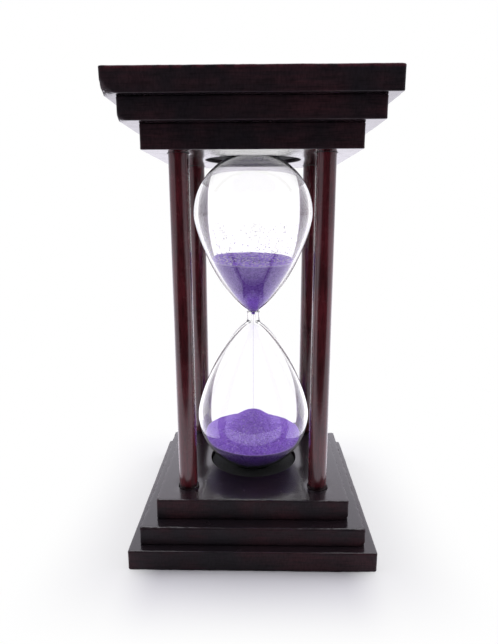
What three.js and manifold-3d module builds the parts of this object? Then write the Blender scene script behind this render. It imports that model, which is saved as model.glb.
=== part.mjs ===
// A four-column hourglass: two stepped square wooden ends, four round columns glued between them,
// one blown glass with two teardrop bulbs, and fine sand caught half way through its run.
//
// Millimetres, +Z up, front towards -Y. The origin is the centre of the base's underside.
// The hourglass is the same either way up, so most pieces are made once and placed at both ends.

import * as THREE from "three";
import { mergeVertices } from "three/addons/utils/BufferGeometryUtils.js";
import Module from "manifold-3d";

const manifold = await Module();
manifold.setup();

// ---------------------------------------------------------------- driving dimensions

// Each end is a stack of three square boards, the widest one outside.
const OUTER_BOARD_WIDTH = 81;
const OUTER_BOARD_THICKNESS = 6.9;
const MIDDLE_BOARD_WIDTH = 74.2;
const MIDDLE_BOARD_THICKNESS = 6.3;
const INNER_BOARD_WIDTH = 64.4;
const INNER_BOARD_THICKNESS = 7.1;
const BOARD_EDGE_CHAMFER = 0.4;

// Round columns, running right through the inner boards and glued there.
const COLUMN_DIAMETER = 6.35;
const COLUMN_SPACING = 45; // centre to centre, along X and along Y
const COLUMN_CLEAR_HEIGHT = 111.4; // from inner board to inner board
const SOCKET_CLEARANCE = 0.3; // on the radius, filled by glue
const GLUE_BEAD_LAP = 0.5; // how far a bead reaches over the board beyond its socket
const GLUE_BEAD_HEIGHT = 0.7;

// Rubber pads, one in the round recess of each inner board, each with a hole that seats the glass.
const RECESS_DIAMETER = 32.8;
const PAD_THICKNESS = 5.9;
const PAD_CLEARANCE = 0.3; // on the radius, to the wall of the recess
const SEAT_DEPTH = 1.3; // how far each end of the glass sinks below the face of its pad
const SEAT_CLEARANCE = 0.3; // from the glass to the edge of the pad's hole

// The glass. Both bulbs are blown to one shape, and meet in a short straight neck that sits a
// little high.
const BULB_RADIUS = 21;
const DOME_HEIGHT = 21.1; // from the widest ring to where the round end would close
const END_FLAT_RADIUS = 3.6; // the round end is flattened here
const GLASS_WALL = 0.65;
const NECK_RADIUS = 2.35;
const NECK_BORE_RADIUS = 0.7;
const NECK_RISE = 0.4; // from the middle of the hourglass up to the middle of the neck
const NECK_HALF_LENGTH = 2;
const BORE_HALF_LENGTH = 2; // the straight part of the bore
const FILLING_HOLE_RADIUS = 2.2; // in the lower end, closed by the stopper
const NECK_SPREAD = 9.4; // a bulb's cone leaves the neck aimed at a point this much further out
const NECK_SPREAD_REACH = 0.175; // and this share of the cone's length further along
const CONE_FULLNESS = 0.2; // share of a bulb's cone that runs into the widest ring straight

// The stopper fills the hole up to the inside of the glass.
const STOPPER_CLEARANCE = 0.3; // on the radius, in the hole
const STOPPER_HEAD_THICKNESS = 1.4;

// Sand. The gap keeps it just off the glass.
const SAND_GAP = 0.3;
const UPPER_SAND_LEVEL = 21.4; // above the middle of the hourglass
const UPPER_SAND_TIP = 1.4; // above the middle too, inside the bore
const HEAP_RIM_HEIGHT = 11.85; // where the heap meets the glass, above the bottom of the sand
const HEAP_CONE_HEIGHT = 9.3; // from that rim to the tip
const HEAP_TIP_RADIUS = 2;
const SAND_THREAD_RADIUS = 0.3;

// How finely round pieces are cut.
const GLASS_SEGMENTS = 36;
const RECESS_SEGMENTS = 48;
const COLUMN_SEGMENTS = 24;
const THREAD_SEGMENTS = 12;
const CONE_STEPS = 10;
const DOME_STEPS = 7;

// ---------------------------------------------------------------- sizes worked out from them

const endHeight = OUTER_BOARD_THICKNESS + MIDDLE_BOARD_THICKNESS + INNER_BOARD_THICKNESS;
const middleHeight = endHeight + COLUMN_CLEAR_HEIGHT / 2;

const columnRadius = COLUMN_DIAMETER / 2;
const columnLength = COLUMN_CLEAR_HEIGHT + 2 * INNER_BOARD_THICKNESS;
const socketRadius = columnRadius + SOCKET_CLEARANCE;
const recessRadius = RECESS_DIAMETER / 2;

// Distances from the middle of the hourglass, along its axis, the same up and down.
const innerBoardFace = COLUMN_CLEAR_HEIGHT / 2;
const middleBoardFace = innerBoardFace + INNER_BOARD_THICKNESS;
const outerBoardFace = middleBoardFace + MIDDLE_BOARD_THICKNESS;
const padFace = middleBoardFace - PAD_THICKNESS;
const glassEnd = padFace + SEAT_DEPTH;
const domeDrop = DOME_HEIGHT * Math.sqrt(1 - (END_FLAT_RADIUS / BULB_RADIUS) ** 2);
const widestRing = glassEnd - domeDrop;

// ---------------------------------------------------------------- materials

function material(name, color, roughness, options = {}) {
  return new THREE.MeshStandardMaterial({ name, color, roughness, metalness: 0, ...options });
}

const boardLacquer = () => material("board_lacquer", 0x2a1a1d, 0.22);
const columnLacquer = () => material("column_lacquer", 0x45242a, 0.28);
const glue = () => material("glue", 0x1c1012, 0.35);
const padRubber = () => material("pad_rubber", 0x17191a, 0.95);
const rubber = () => material("rubber", 0x3a3634, 0.8);
const sand = () => material("sand", 0x7a58bc, 0.9);
const clearGlass = () => material("glass", 0xf2f5f8, 0.02, { transparent: true, opacity: 0.3 });

// ---------------------------------------------------------------- solid helpers

function point(radius, height) {
  return new THREE.Vector2(radius, height);
}

// Turns an outline of (radius, height) points about the Z axis.
function turned(outline, segments) {
  return new THREE.LatheGeometry(outline, segments).rotateX(Math.PI / 2);
}

// A round bar centred on the origin, along Z.
function roundBar(radius, length, segments) {
  const half = length / 2;
  return turned([point(0, -half), point(radius, -half), point(radius, half), point(0, half)], segments);
}

function solidOf(geometry) {
  const bare = new THREE.BufferGeometry();
  bare.setAttribute("position", geometry.getAttribute("position"));
  bare.setIndex(geometry.getIndex());
  const merged = mergeVertices(bare, 1e-4);
  return new manifold.Manifold(
    new manifold.Mesh({
      numProp: 3,
      vertProperties: new Float32Array(merged.getAttribute("position").array),
      triVerts: new Uint32Array(merged.getIndex().array),
    }),
  );
}

function geometryOf(solid) {
  const mesh = solid.getMesh();
  const geometry = new THREE.BufferGeometry();
  geometry.setAttribute("position", new THREE.BufferAttribute(mesh.vertProperties, mesh.numProp));
  geometry.setIndex(new THREE.BufferAttribute(mesh.triVerts, 1));
  const faceted = geometry.toNonIndexed();
  faceted.computeVertexNormals();
  return faceted;
}

// Adds a named mesh to a group, at a height on the axis.
function place(group, name, geometry, surface, height = 0) {
  const mesh = new THREE.Mesh(geometry, surface);
  mesh.name = name;
  mesh.position.z = height;
  group.add(mesh);
  return mesh;
}

// ---------------------------------------------------------------- boards

// A square board centred on the origin, with its edges chamfered.
function board(width, thickness) {
  const half = width / 2 - BOARD_EDGE_CHAMFER;
  const square = new THREE.Shape([
    point(-half, -half),
    point(half, -half),
    point(half, half),
    point(-half, half),
  ]);
  const depth = thickness - 2 * BOARD_EDGE_CHAMFER;
  const slab = new THREE.ExtrudeGeometry(square, {
    depth,
    bevelThickness: BOARD_EDGE_CHAMFER,
    bevelSize: BOARD_EDGE_CHAMFER,
    bevelSegments: 1,
  });
  return slab.translate(0, 0, -depth / 2);
}

// The four column centres, with the words that name them.
function columnPlaces() {
  const half = COLUMN_SPACING / 2;
  return [
    { side: "front_left", x: -half, y: -half },
    { side: "front_right", x: half, y: -half },
    { side: "back_left", x: -half, y: half },
    { side: "back_right", x: half, y: half },
  ];
}

// The inner board carries the recess for the glass and the four sockets, all cut right through.
function innerBoard() {
  const through = 2 * INNER_BOARD_THICKNESS;
  let solid = solidOf(board(INNER_BOARD_WIDTH, INNER_BOARD_THICKNESS));
  solid = solid.subtract(solidOf(roundBar(recessRadius, through, RECESS_SEGMENTS)));
  for (const { x, y } of columnPlaces()) {
    const socket = roundBar(socketRadius, through, COLUMN_SEGMENTS).translate(x, y, 0);
    solid = solid.subtract(solidOf(socket));
  }
  return geometryOf(solid);
}

// ---------------------------------------------------------------- the glass and what it holds

// Outline of one bulb, as (radius, distance from the middle), from the neck to the bulb's end.
// It lies inset inside the outer skin, leaves the neck at neckEnd, neckRadius wide, and stops
// where it is endRadius wide.
function bulbOutline(inset, neckEnd, neckRadius, endRadius) {
  const widest = BULB_RADIUS - inset;
  const coneLength = widestRing - neckEnd;
  const cone = new THREE.CubicBezierCurve(
    point(neckRadius, neckEnd),
    point(neckRadius + NECK_SPREAD, neckEnd + NECK_SPREAD_REACH * coneLength),
    point(widest, widestRing - CONE_FULLNESS * coneLength),
    point(widest, widestRing),
  );
  const domeAngle = Math.acos(endRadius / widest);
  const dome = new THREE.EllipseCurve(0, widestRing, widest, DOME_HEIGHT - inset, 0, domeAngle);
  return [...cone.getPoints(CONE_STEPS), ...dome.getPoints(DOME_STEPS).slice(1)];
}

// The same outline for the upper bulb and for the lower one, whose necks end at different distances.
function bothBulbs(inset, neckHalfLength, neckRadius, endRadius) {
  return {
    upper: bulbOutline(inset, neckHalfLength + NECK_RISE, neckRadius, endRadius),
    lower: bulbOutline(inset, neckHalfLength - NECK_RISE, neckRadius, endRadius),
  };
}

const upwards = (outline) => outline.map((p) => point(p.x, p.y));
const downwards = (outline) => outline.map((p) => point(p.x, -p.y));

// The outline's radius at a distance from the middle.
function radiusAt(outline, distance) {
  const next = outline.findIndex((p) => p.y >= distance);
  const [a, b] = [outline[next - 1], outline[next]];
  return a.x + ((b.x - a.x) * (distance - a.y)) / (b.y - a.y);
}

const outerOutlines = bothBulbs(0, NECK_HALF_LENGTH, NECK_RADIUS, END_FLAT_RADIUS);
const innerOutlines = bothBulbs(
  GLASS_WALL,
  BORE_HALF_LENGTH,
  NECK_BORE_RADIUS,
  FILLING_HOLE_RADIUS,
);
const sandOutlines = bothBulbs(
  GLASS_WALL + SAND_GAP,
  BORE_HALF_LENGTH + SAND_GAP,
  NECK_BORE_RADIUS - SAND_GAP,
  FILLING_HOLE_RADIUS,
);
const innerEnd = innerOutlines.lower.at(-1).y;
const sandEnd = sandOutlines.lower.at(-1).y;
const heapRim = sandEnd - HEAP_RIM_HEIGHT;
const heapTip = heapRim - HEAP_CONE_HEIGHT;

// Both bulbs and the neck, open only at the filling hole in the lower end.
function glassBulbs() {
  const outside = [...downwards(outerOutlines.lower).reverse(), ...upwards(outerOutlines.upper)];
  const inside = [...upwards(innerOutlines.upper).reverse(), ...downwards(innerOutlines.lower)];
  const outline = [
    point(FILLING_HOLE_RADIUS, -glassEnd),
    ...outside,
    point(0, glassEnd),
    point(0, innerEnd),
    ...inside,
    point(FILLING_HOLE_RADIUS, -glassEnd),
  ];
  return turned(outline, GLASS_SEGMENTS);
}

// A flat-headed plug: its head lies under the end of the glass, its stem fills the hole.
function fillingStopper() {
  const stemRadius = FILLING_HOLE_RADIUS - STOPPER_CLEARANCE;
  const headBottom = -glassEnd - STOPPER_HEAD_THICKNESS;
  const outline = [
    point(0, headBottom),
    point(END_FLAT_RADIUS, headBottom),
    point(END_FLAT_RADIUS, -glassEnd),
    point(stemRadius, -glassEnd),
    point(stemRadius, -innerEnd),
    point(0, -innerEnd),
  ];
  return turned(outline, COLUMN_SEGMENTS);
}

// What is left in the upper bulb, level on top and running down into the bore.
function upperSand() {
  const side = upwards(sandOutlines.upper).filter((p) => p.y < UPPER_SAND_LEVEL);
  const outline = [
    point(0, UPPER_SAND_TIP),
    point(side[0].x, UPPER_SAND_TIP),
    ...side,
    point(radiusAt(sandOutlines.upper, UPPER_SAND_LEVEL), UPPER_SAND_LEVEL),
    point(0, UPPER_SAND_LEVEL),
  ];
  return turned(outline, GLASS_SEGMENTS);
}

// The heap in the lower bulb: round below like the glass, a blunt cone above.
function lowerSand() {
  const side = downwards(sandOutlines.lower).filter((p) => p.y < -heapRim).reverse();
  const outline = [
    point(0, -sandEnd),
    ...side,
    point(radiusAt(sandOutlines.lower, heapRim), -heapRim),
    point(HEAP_TIP_RADIUS, -heapTip),
    point(0, -heapTip),
  ];
  return turned(outline, GLASS_SEGMENTS);
}

// The falling thread, from the upper sand through the neck to the tip of the heap.
function sandThread() {
  const length = UPPER_SAND_TIP + heapTip;
  const thread = roundBar(SAND_THREAD_RADIUS, length, THREAD_SEGMENTS);
  return thread.translate(0, 0, UPPER_SAND_TIP - length / 2);
}

// A rubber ring that fills the recess and seats the end of the glass in its hole.
function pad() {
  const clear = bothBulbs(-SEAT_CLEARANCE, NECK_HALF_LENGTH, NECK_RADIUS, END_FLAT_RADIUS);
  const seatRadius = radiusAt(clear.lower, padFace);
  const edgeRadius = recessRadius - PAD_CLEARANCE;
  const half = PAD_THICKNESS / 2;
  const outline = [
    point(seatRadius, -half),
    point(edgeRadius, -half),
    point(edgeRadius, half),
    point(seatRadius, half),
    point(seatRadius, -half),
  ];
  return turned(outline, RECESS_SEGMENTS);
}

// ---------------------------------------------------------------- columns and glue

// A bead of glue squeezed out around the foot of a column, lying on the board.
function glueBead() {
  const lapRadius = socketRadius + GLUE_BEAD_LAP;
  const outline = [
    point(columnRadius, 0),
    point(lapRadius, 0),
    point(columnRadius, GLUE_BEAD_HEIGHT),
    point(columnRadius, 0),
  ];
  return turned(outline, COLUMN_SEGMENTS);
}

// ---------------------------------------------------------------- assembly

const hourglass = new THREE.Group();

// direction is -1 for the base and 1 for the top.
function addEnd(endName, direction) {
  const end = new THREE.Group();
  end.position.z = middleHeight;
  hourglass.add(end);

  const outerCentre = outerBoardFace + OUTER_BOARD_THICKNESS / 2;
  const middleCentre = middleBoardFace + MIDDLE_BOARD_THICKNESS / 2;
  const innerCentre = innerBoardFace + INNER_BOARD_THICKNESS / 2;
  const padCentre = padFace + PAD_THICKNESS / 2;

  const outer = board(OUTER_BOARD_WIDTH, OUTER_BOARD_THICKNESS);
  const middle = board(MIDDLE_BOARD_WIDTH, MIDDLE_BOARD_THICKNESS);
  place(end, `${endName}_outer_board`, outer, boardLacquer(), direction * outerCentre);
  place(end, `${endName}_middle_board`, middle, boardLacquer(), direction * middleCentre);
  place(end, `${endName}_inner_board`, innerBoard(), boardLacquer(), direction * innerCentre);
  place(end, `${endName}_pad`, pad(), padRubber(), direction * padCentre);

  for (const { side, x, y } of columnPlaces()) {
    const beadName = `${endName}_glue_bead_${side}`;
    const bead = place(end, beadName, glueBead(), glue(), direction * innerBoardFace);
    bead.position.x = x;
    bead.position.y = y;
    if (direction > 0) bead.rotation.x = Math.PI;
  }
}

function addColumns() {
  for (const { side, x, y } of columnPlaces()) {
    const bar = roundBar(columnRadius, columnLength, COLUMN_SEGMENTS);
    const column = place(hourglass, `column_${side}`, bar, columnLacquer(), middleHeight);
    column.position.x = x;
    column.position.y = y;
  }
}

// The glass turns with everything inside it, so these pieces share a group.
function addGlass() {
  const glass = new THREE.Group();
  glass.position.z = middleHeight;
  hourglass.add(glass);
  place(glass, "glass_bulbs", glassBulbs(), clearGlass());
  place(glass, "filling_stopper", fillingStopper(), rubber());
  place(glass, "sand_upper", upperSand(), sand());
  place(glass, "sand_thread", sandThread(), sand());
  place(glass, "sand_lower", lowerSand(), sand());
}

addEnd("base", -1);
addEnd("top", 1);
addColumns();
addGlass();

export default hourglass;
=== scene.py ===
# Looks of a four-column hourglass, around its CAD model.
# Metres, +Z up, front towards -Y, the origin under the middle of the base.
import math

import bmesh
import bpy
import numpy as np
from mathutils import Matrix, Vector, noise
from mathutils.geometry import delaunay_2d_cdt


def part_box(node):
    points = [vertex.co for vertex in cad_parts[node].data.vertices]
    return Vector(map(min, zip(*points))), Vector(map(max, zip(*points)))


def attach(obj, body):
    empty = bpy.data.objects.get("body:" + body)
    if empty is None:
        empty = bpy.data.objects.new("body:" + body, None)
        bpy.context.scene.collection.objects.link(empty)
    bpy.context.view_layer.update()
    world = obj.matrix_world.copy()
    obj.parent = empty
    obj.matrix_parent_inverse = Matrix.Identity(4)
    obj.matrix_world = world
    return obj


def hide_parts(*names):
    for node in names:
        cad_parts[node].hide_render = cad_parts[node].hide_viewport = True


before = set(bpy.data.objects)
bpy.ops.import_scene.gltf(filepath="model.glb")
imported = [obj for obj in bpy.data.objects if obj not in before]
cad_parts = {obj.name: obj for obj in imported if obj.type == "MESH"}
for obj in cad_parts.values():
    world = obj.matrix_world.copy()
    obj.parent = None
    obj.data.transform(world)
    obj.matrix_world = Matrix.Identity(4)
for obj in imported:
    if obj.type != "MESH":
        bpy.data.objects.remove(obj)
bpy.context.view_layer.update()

scene = bpy.context.scene
MM = 0.001

# ---- sizes the CAD's boxes don't give

RECESS_RADIUS = 16.4 * MM
SOCKET_RADIUS = 3.475 * MM
GLASS_WALL = 0.65 * MM
DOME_HEIGHT = 21.1 * MM
END_FLAT_RADIUS = 3.6 * MM
MOUTH_RADIUS = 2.2 * MM  # of the filling hole
NECK_RADIUS = 2.35 * MM
NECK_BORE_RADIUS = 0.7 * MM
NECK_HALF_LENGTH = 2.0 * MM
BORE_HALF_LENGTH = 2.0 * MM
NECK_RISE = 0.4 * MM  # of the neck above the glass's middle
NECK_SPREAD = 9.4 * MM  # a cone's curve heads this far outwards as it leaves the neck
NECK_SPREAD_REACH = 0.175  # over this share of the cone's length
CONE_FULLNESS = 0.2  # and it arrives straight over this share
UPPER_SAND_TIP = 1.4 * MM

# ---- mesh helpers


def ring(radius, height, count, centre=(0.0, 0.0)):
    """Points on a circle, anticlockwise from above. Radius and height may be one per point."""
    angles = np.arange(count) * math.tau / count
    x = centre[0] + radius * np.cos(angles)
    y = centre[1] + radius * np.sin(angles)
    return np.stack([x, y, np.broadcast_to(height, count)], axis=1)


def skin(rings, start=None, end=None, loop=False):
    """Points and faces of a skin over rings of equal count.

    Rings that climb leave the outside facing out, and rings that sink face the axis.
    start and end are points that close the first and the last ring.
    """
    count = len(rings[0])
    points = np.concatenate(rings)
    faces = []
    for i in range(len(rings) if loop else len(rings) - 1):
        a = i * count
        b = (i + 1) % len(rings) * count
        for j in range(count):
            k = (j + 1) % count
            faces.append((a + j, a + k, b + k, b + j))
    if start is not None:
        faces += [(len(points), (j + 1) % count, j) for j in range(count)]
        points = np.vstack([points, start])
    if end is not None:
        last = (len(rings) - 1) * count
        faces += [(len(points), last + j, last + (j + 1) % count) for j in range(count)]
        points = np.vstack([points, end])
    return points, faces


def fading(distance, full, end):
    """1 up to the full distance and 0 past the end."""
    return np.clip((end - distance) / (end - full), 0, 1)


def quarter_turn(steps):
    """Angles from 0 to 90 degrees."""
    return [math.pi / 2 * i / steps for i in range(steps + 1)]


def eased(radius, height, outward, upward, edge, angles):
    """(radius, height) along a rounded edge, from its flat face at angle 0 to its side.

    outward is 1 where the face lies outside the edge and -1 inside it, and upward is 1 where the
    side rises from the face and -1 where it drops.
    """
    return [
        (radius + outward * edge * (1 - math.sin(a)), height + upward * edge * (1 - math.cos(a)))
        for a in angles
    ]


def flat_fill(outer, holes, spacing, upward):
    """Triangles between a ring and the round holes in it, as (ring, centre, radius), at one height."""
    height = float(outer[:, 2].mean())
    half = float(np.abs(outer[:, :2]).max())
    ticks = np.arange(-half + spacing, half - 0.6 * spacing, spacing)
    inner = [(x, y) for x in ticks for y in ticks if clear_of(x, y, holes, 0.6 * spacing)]
    loops = [outer] + [hole for hole, _, _ in holes]
    flat = [tuple(point[:2]) for loop in loops for point in loop] + inner
    edges = []
    start = 0
    for loop in loops:
        edges += [(start + i, start + (i + 1) % len(loop)) for i in range(len(loop))]
        start += len(loop)
    made, _, triangles, origin, _, _ = delaunay_2d_cdt([Vector(p) for p in flat], edges, [], 1, 1e-9)
    exact = np.array([flat[o[0]] if o else tuple(p) for p, o in zip(made, origin)])
    points = np.column_stack([exact, np.full(len(exact), height)])
    faces = []
    for triangle in triangles:
        a, b, c = (exact[i] for i in triangle)
        middle = (a + b + c) / 3
        if not clear_of(middle[0], middle[1], holes, 0.0):
            continue
        turns_left = (b[0] - a[0]) * (c[1] - a[1]) - (b[1] - a[1]) * (c[0] - a[0]) > 0
        faces.append(tuple(triangle) if turns_left == upward else tuple(reversed(triangle)))
    return points, faces


def clear_of(x, y, holes, margin):
    """True for a place that is outside every hole by a margin."""
    return all(math.hypot(x - c[0], y - c[1]) > radius + margin for _, c, radius in holes)


def ripple(points, size, seed):
    """Smooth noise from -1 to 1 at each point, with features of about that size."""
    shift = Vector((17.31 * seed, 5.17 * seed, 9.73 * seed))
    return np.array([noise.noise(Vector(p) / size + shift) for p in points])


WELD_DISTANCE = 0.002 * MM


def add_object(name, data):
    """An object with that mesh, light or camera."""
    made = bpy.data.objects.new(name, data)
    scene.collection.objects.link(made)
    return made


def add_piece(name, parts, material, body, nodes, sharp_angle=None, marks=None, weld=True):
    """One object made of skins. It rides on a body and stands for CAD nodes.

    Faces that meet at more than sharp_angle degrees have a sharp edge between them. marks holds
    float attributes for its material, each a function of the points.
    """
    points = np.concatenate([p for p, _ in parts])
    faces = []
    start = 0
    for part_points, part_faces in parts:
        faces += [tuple(start + i for i in face) for face in part_faces]
        start += len(part_points)
    mesh = bpy.data.meshes.new(name)
    mesh.from_pydata(points.tolist(), [], faces)
    if weld:
        work = bmesh.new()
        work.from_mesh(mesh)
        bmesh.ops.remove_doubles(work, verts=work.verts, dist=WELD_DISTANCE)
        work.to_mesh(mesh)
        work.free()
    mesh.materials.append(material)
    mesh.polygons.foreach_set("use_smooth", [True] * len(mesh.polygons))
    if sharp_angle:
        mesh.set_sharp_from_angle(angle=math.radians(sharp_angle))
    welded = np.array([v.co for v in mesh.vertices])
    for key, mark in (marks or {}).items():
        attribute = mesh.attributes.new(key, "FLOAT", "POINT")
        attribute.data.foreach_set("value", mark(welded).astype(np.float32))
    mesh.update()
    piece = add_object(name, mesh)
    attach(piece, body)
    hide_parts(*nodes)


# ---- material helpers


def new_material(name):
    """A material with a Principled shader, as (material, tree, shader, object coordinates)."""
    material = bpy.data.materials.new(name)
    material.use_nodes = True
    tree = material.node_tree
    coordinates = add(tree, "TexCoord").outputs["Object"]
    return material, tree, tree.nodes["Principled BSDF"], coordinates


def feed(tree, node, inputs):
    """Sets a node's inputs to values, or links them to other nodes."""
    for key, value in inputs.items():
        if isinstance(value, bpy.types.NodeSocket):
            tree.links.new(value, node.inputs[key])
        else:
            node.inputs[key].default_value = value


def add(tree, kind, inputs=None, **settings):
    """A shader node with its settings and inputs."""
    made = tree.nodes.new("ShaderNode" + kind)
    for key, value in settings.items():
        setattr(made, key, value)
    feed(tree, made, inputs or {})
    return made


def noise_of(tree, coordinates, size, detail=3.0, stretch=(1, 1, 1)):
    """Noise from 0 to 1 with features of about that size, longer along a stretched axis."""
    scale = tuple(1 / (size * s) for s in stretch)
    placed = add(tree, "Mapping", {"Vector": coordinates, "Scale": scale})
    made = add(tree, "TexNoise", {"Vector": placed.outputs[0], "Scale": 1.0, "Detail": detail})
    return made.outputs["Fac"]


def cells_of(tree, coordinates, spacing):
    """Cells with middles about that far apart, as (colours, distance from the middle)."""
    cells = add(tree, "TexVoronoi", {"Vector": coordinates, "Scale": 1 / spacing})
    return cells.outputs["Color"], cells.outputs["Distance"]


def spread(tree, value, low, high, to_low=0.0, to_high=1.0):
    """Maps low..high to to_low..to_high, smoothly and clamped."""
    inputs = {"Value": value, "From Min": low, "From Max": high, "To Min": to_low, "To Max": to_high}
    return add(tree, "MapRange", inputs, interpolation_type="SMOOTHSTEP").outputs[0]


def math_of(operation):
    """A function that adds a Math node for two numbers."""
    return lambda tree, a, b: add(tree, "Math", {0: a, 1: b}, operation=operation).outputs[0]


times = math_of("MULTIPLY")
plus = math_of("ADD")
minus = math_of("SUBTRACT")
largest = math_of("MAXIMUM")


def unsigned(tree, a):
    return add(tree, "Math", {0: a}, operation="ABSOLUTE").outputs[0]


def axes_of(tree, vector):
    """A vector's X, Y and Z."""
    return add(tree, "SeparateXYZ", {0: vector}).outputs


def mark_of(tree, name):
    """A float attribute of the mesh."""
    return add(tree, "Attribute", attribute_name=name).outputs["Fac"]


def blend_colours(tree, share, a, b):
    """Colour a where share is 0 and b where it is 1."""
    return add(tree, "Mix", {0: share, 6: a, 7: b}, data_type="RGBA").outputs[2]


def toned(tree, share, tint, tone):
    """A colour multiplied by a tone, as far as share says."""
    mixed = add(tree, "Mix", {0: share, 6: tint, 7: tone}, data_type="RGBA", blend_type="MULTIPLY")
    return mixed.outputs[2]


def glow_of(tree, kind, tint, strength):
    """An Emission or Background shader."""
    return add(tree, kind, {"Color": tint, "Strength": strength}).outputs[0]


def blend_shaders(tree, share, a, b):
    """Shader a where share is 0 and b where it is 1."""
    return add(tree, "MixShader", {0: share, 1: a, 2: b}).outputs[0]


def bump(tree, height, strength, distance, below=None):
    inputs = {"Height": height, "Strength": strength, "Distance": distance}
    if below is not None:
        inputs["Normal"] = below
    return add(tree, "Bump", inputs).outputs[0]


def colour(red, green, blue):
    return (red, green, blue, 1.0)


# ---- materials

STREAK_SIZE = 1.1 * MM
PATCH_SIZE = 16 * MM
PORE_SIZE = 0.35 * MM
RUB_SIZE = 2.5 * MM
SMEAR_SIZE = 4 * MM
WAVE_SIZE = 1.8 * MM
SAW_SIZE = 0.5 * MM
SAW_STRETCH = (1, 1, 3)
LINT_SPACING = 6.5 * MM
DENT_SPACING = 4.7 * MM
FOOT_SHADE_RAGGED = 1.6 * MM
LEVEL = (0.75, 0.97)  # the share of a normal that points up or down, where a face is partly or all level
LEVEL_PAINTED_SHADE = 0.75  # how much a painted shade on level faces pulls their tint towards the dark tint
RUBBED_RED = colour(0.085, 0.018, 0.028)
LINT_GREY = colour(0.10, 0.095, 0.10)
FOOT_SHADE_BLACK = colour(0.005, 0.003, 0.004)


def lacquered_wood(
    name, dark, red, grain, redness, faces, edges, gloss, bumps, lint, saw_marks, foot_shade=None
):
    """Dark wood under gloss lacquer, rubbed through to reddish wood as the attribute "wear" says.

    grain is the stretch of its streaks, and redness the noise range in which patches turn red.
    faces and edges are the range of roughness on level faces and on sides, and gloss is the top
    coat's weight on sides and faces. bumps are the strengths of waves, pores and dents, saw_marks
    that of marks across the sides. lint is the size of pale flecks as a share of their spacing.
    The last argument is (height of a column's foot, how far up a painted shade darkens the column from
    there).
    """
    material, tree, shader, place = new_material(name)
    upward = axes_of(tree, add(tree, "NewGeometry").outputs["True Normal"])["Z"]
    level = spread(tree, unsigned(tree, upward), *LEVEL)
    sawn_side = times(tree, saw_marks, minus(tree, 1.0, level))
    rubbed = spread(tree, noise_of(tree, place, RUB_SIZE, 4.0), 0.35, 0.6)
    rub = times(tree, mark_of(tree, "wear"), rubbed)
    pores = noise_of(tree, place, PORE_SIZE, 3.0, grain)
    saw = noise_of(tree, place, SAW_SIZE, 3.0, SAW_STRETCH)

    streaks = spread(tree, noise_of(tree, place, STREAK_SIZE, 4.0, grain), 0.25, 0.75, 0.35, 1.0)
    patches = spread(tree, noise_of(tree, place, PATCH_SIZE, 3.0), *redness)
    tint = blend_colours(tree, times(tree, streaks, patches), dark, red)
    tint = toned(tree, 1.0, tint, spread(tree, pores, 0.25, 0.55, 0.6, 1.1))
    tint = blend_colours(tree, rub, tint, RUBBED_RED)
    _, from_fleck = cells_of(tree, place, LINT_SPACING)
    tint = blend_colours(tree, spread(tree, from_fleck, 0.5 * lint, lint, 0.8, 0.0), tint, LINT_GREY)
    # painted shade: level faces are darkened towards the dark tint
    tint = blend_colours(tree, times(tree, level, LEVEL_PAINTED_SHADE), tint, dark)
    tint = toned(tree, sawn_side, tint, spread(tree, saw, 0.35, 0.6, 0.3, 1.0))
    # painted shade at a column's foot, where it meets the board
    if foot_shade:
        foot, reach = foot_shade
        ragged = times(tree, noise_of(tree, place, WAVE_SIZE), FOOT_SHADE_RAGGED)
        height = minus(tree, axes_of(tree, place)["Z"], ragged)
        near_foot = spread(tree, height, foot - 0.3 * reach, foot + reach, 0.88, 0.0)
        tint = blend_colours(tree, near_foot, tint, FOOT_SHADE_BLACK)

    smear = noise_of(tree, place, SMEAR_SIZE, 3.0)
    polished = spread(tree, smear, 0.3, 0.75, *faces)
    sawn = spread(tree, smear, 0.3, 0.75, *edges)
    finish = add(tree, "Mix", {0: level, 2: sawn, 3: polished}, data_type="FLOAT").outputs[0]
    even = gloss[0] == gloss[1]

    waves, fine, hollows = bumps
    _, from_dent = cells_of(tree, place, DENT_SPACING)
    normal = bump(tree, noise_of(tree, place, WAVE_SIZE, 2.0), waves, 0.25 * MM)
    normal = bump(tree, pores, fine, 0.05 * MM, normal)
    normal = bump(tree, spread(tree, from_dent, 0.05, 0.11), hollows, 0.2 * MM, normal)
    normal = bump(tree, saw, sawn_side, 0.1 * MM, normal)
    inputs = {
        "Base Color": tint,
        "Roughness": largest(tree, finish, times(tree, rub, 0.5)),
        "IOR": 1.5,
        "Specular IOR Level": 0.14,
        "Coat Weight": gloss[0] if even else spread(tree, level, 0.0, 1.0, *gloss),
        "Coat Roughness": 0.18,
        "Normal": normal,
        "Coat Normal": normal,
    }
    feed(tree, shader, inputs)
    return material


def clear_glass():
    """Glass that lets lamps light what is in it: shadow and diffuse rays go straight through."""
    material, tree, shader, place = new_material("clear_glass")
    drawn = noise_of(tree, place, 9 * MM, 1.0, (1, 1, 3))
    inputs = {
        "Base Color": colour(0.993, 0.988, 1.0),
        "Specular Tint": colour(0.84, 0.80, 1.0),
        "Transmission Weight": 1.0,
        "Roughness": 0.0,
        "IOR": 1.52,
        "Normal": bump(tree, drawn, 0.05, 0.3 * MM),
    }
    feed(tree, shader, inputs)
    path = add(tree, "LightPath").outputs
    straight = largest(tree, path["Is Shadow Ray"], path["Is Diffuse Ray"])
    through = add(tree, "BsdfTransparent", {"Color": colour(0.93, 0.94, 0.95)}).outputs[0]
    surface = blend_shaders(tree, straight, shader.outputs[0], through)
    feed(tree, tree.nodes["Material Output"], {"Surface": surface})
    return material


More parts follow.
